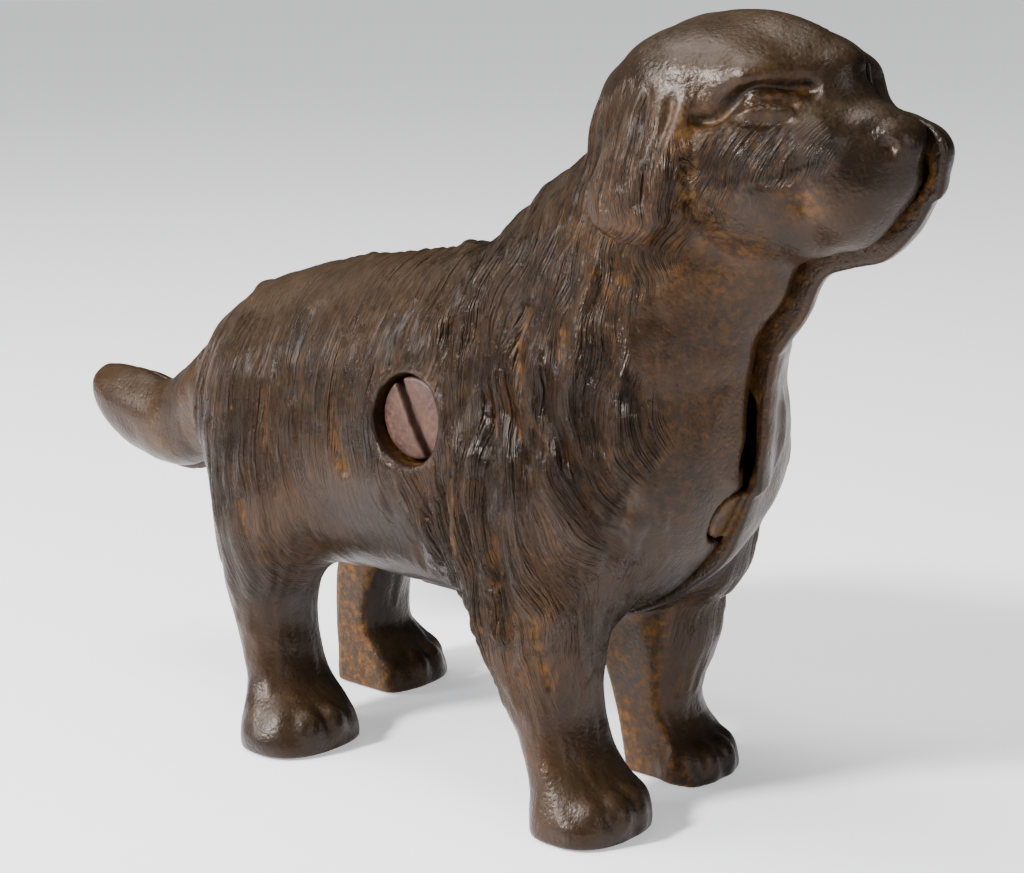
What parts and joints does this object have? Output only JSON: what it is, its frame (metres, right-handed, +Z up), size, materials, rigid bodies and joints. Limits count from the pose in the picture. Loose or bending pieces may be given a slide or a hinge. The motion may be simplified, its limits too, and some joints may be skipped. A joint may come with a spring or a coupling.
{
  "type": "cast iron still bank",
  "caption": "Standing long-haired dog coin bank in two hollow cast iron halves, clamped by one slotted screw sunk in the flank, with a coin slot along the back.",
  "frame": {"origin": "on the ground under the middle of the bounding box", "axes": "+X towards the dog's nose, +Y towards the dog's left, +Z up"},
  "size_m": [0.1368, 0.0414, 0.093],
  "materials": {
    "right_casting": "dark brown handled patina with a waxy sheen and orange rust in the low places",
    "left_casting": "dark brown handled patina with a waxy sheen and orange rust in the low places",
    "screw": "reddish brown rust, dull, with a worn bright edge at the driver slot"
  },
  "bodies": {
    "right": {"right_half": "right_casting"},
    "left": {"left_half": "left_casting"},
    "screw": {"clamp_screw": "screw"}
  },
  "joints": [
    {"name": "halves_part", "type": "slide", "parent": "right", "child": "left", "axis": [0, 1, 0], "range_m": [0, 0.0127]},
    {"name": "screw_turn", "type": "hinge", "parent": "right", "child": "screw", "pos_m": [0.01041, 0, 0.0469], "axis": [0, -1, 0], "range_deg": [0, 4320]}
  ],
  "couplings": [
    {"joint": "screw_turn", "follows": "halves_part", "rad_per_m": 5936.6}
  ]
}
